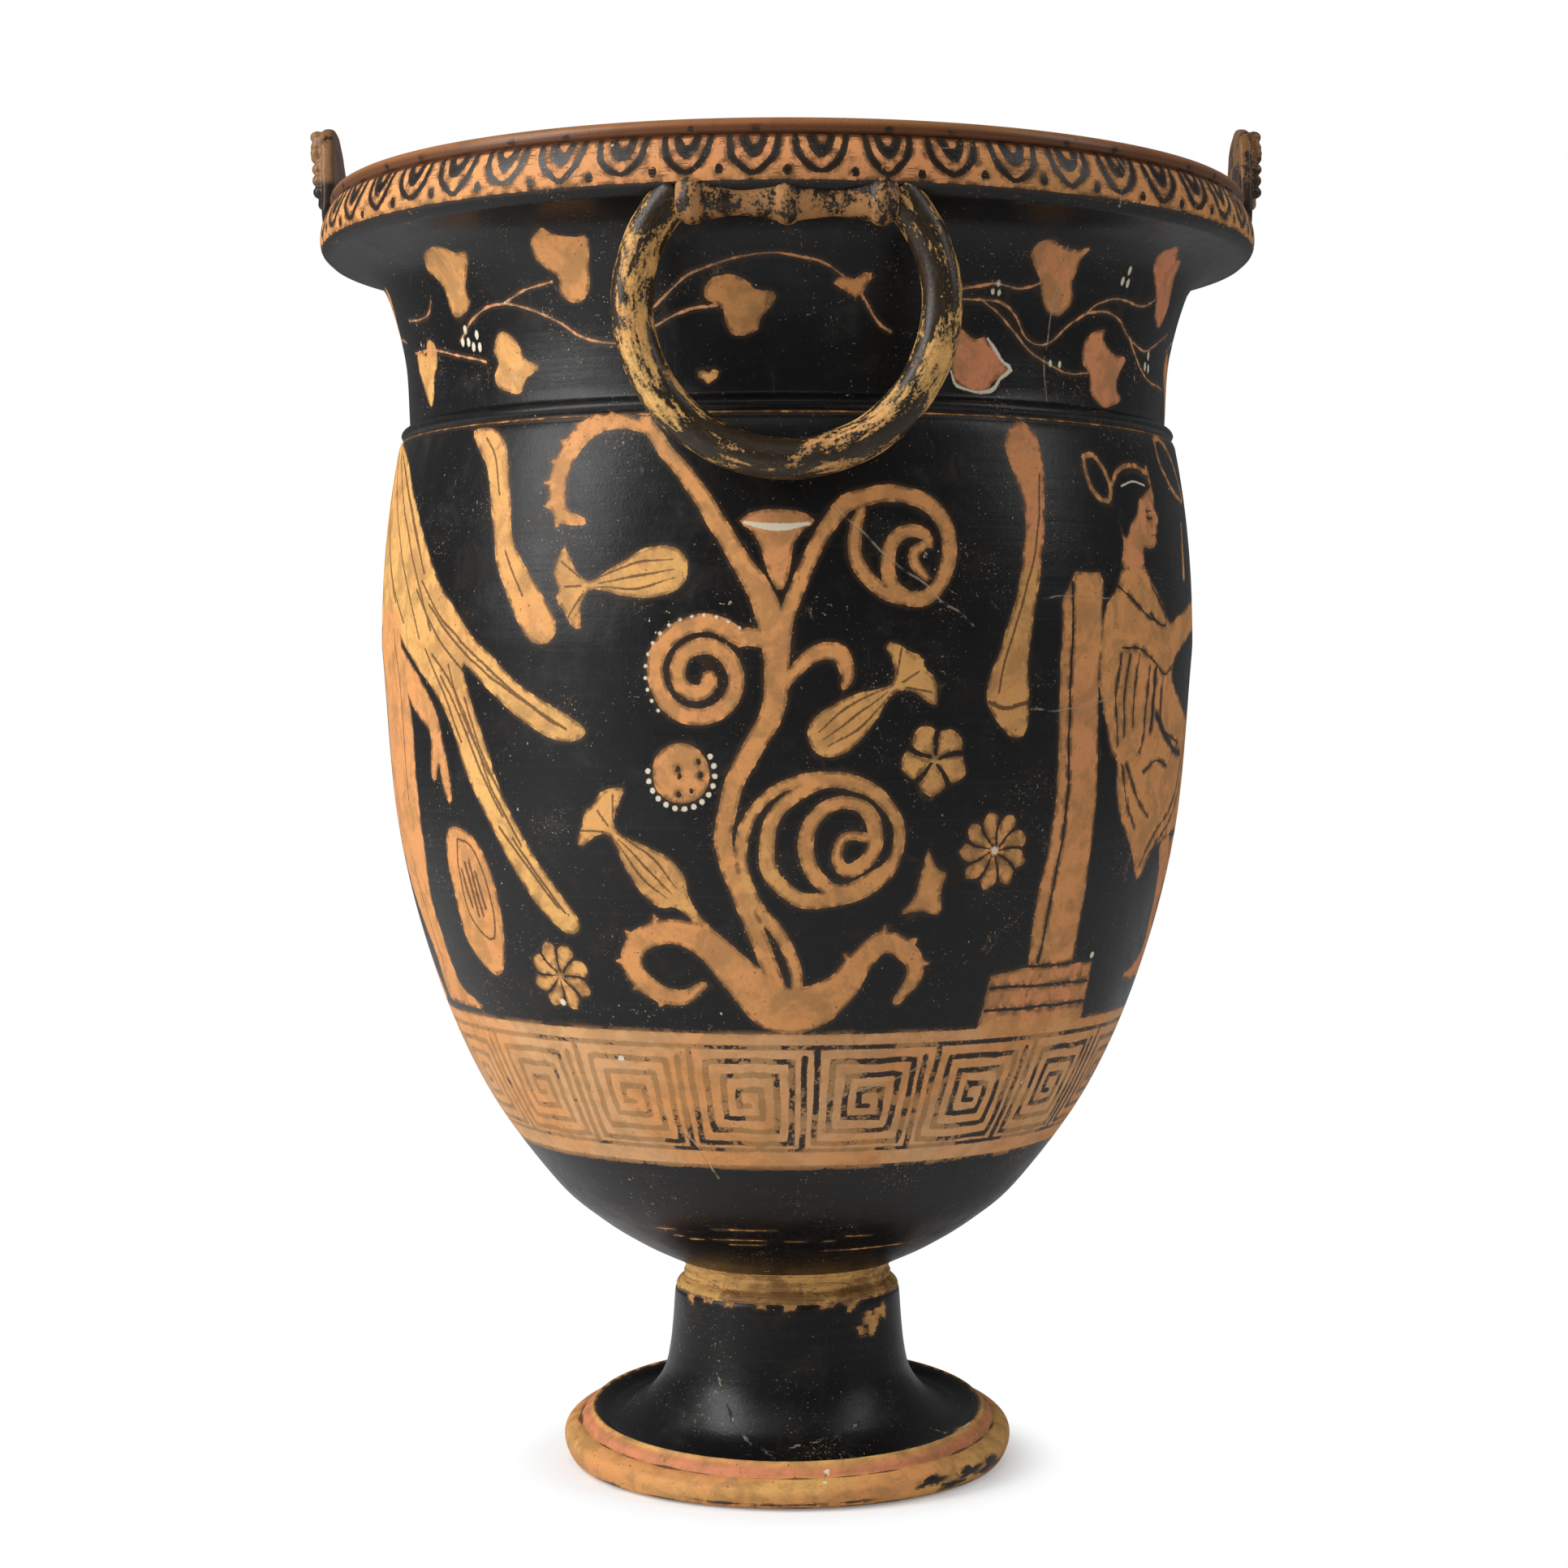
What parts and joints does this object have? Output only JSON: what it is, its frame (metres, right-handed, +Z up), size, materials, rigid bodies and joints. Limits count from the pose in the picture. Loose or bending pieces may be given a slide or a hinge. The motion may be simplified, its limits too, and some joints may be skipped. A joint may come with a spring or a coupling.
{
  "type": "greek krater",
  "caption": "deep turned wine-mixing bowl on a stemmed foot, with a flared egg-banded rim, ring handles hung under the rim and mask lugs standing on the lip",
  "frame": {"origin": "centre of the flat ring under the foot, at the height the vessel stands on", "axes": "+Z up along the turning axis; -Y towards the ring handle seen in the picture and +Y to the one behind; +X and -X to the two mask lugs"},
  "size_m": [0.3754, 0.3632, 0.5235],
  "materials": {
    "painted_clay": "fired orange clay under a worn black gloss, with reserved figures, leaves, egg band and meander"
  },
  "bodies": {
    "root": {"krater": "painted_clay"}
  },
  "joints": []
}
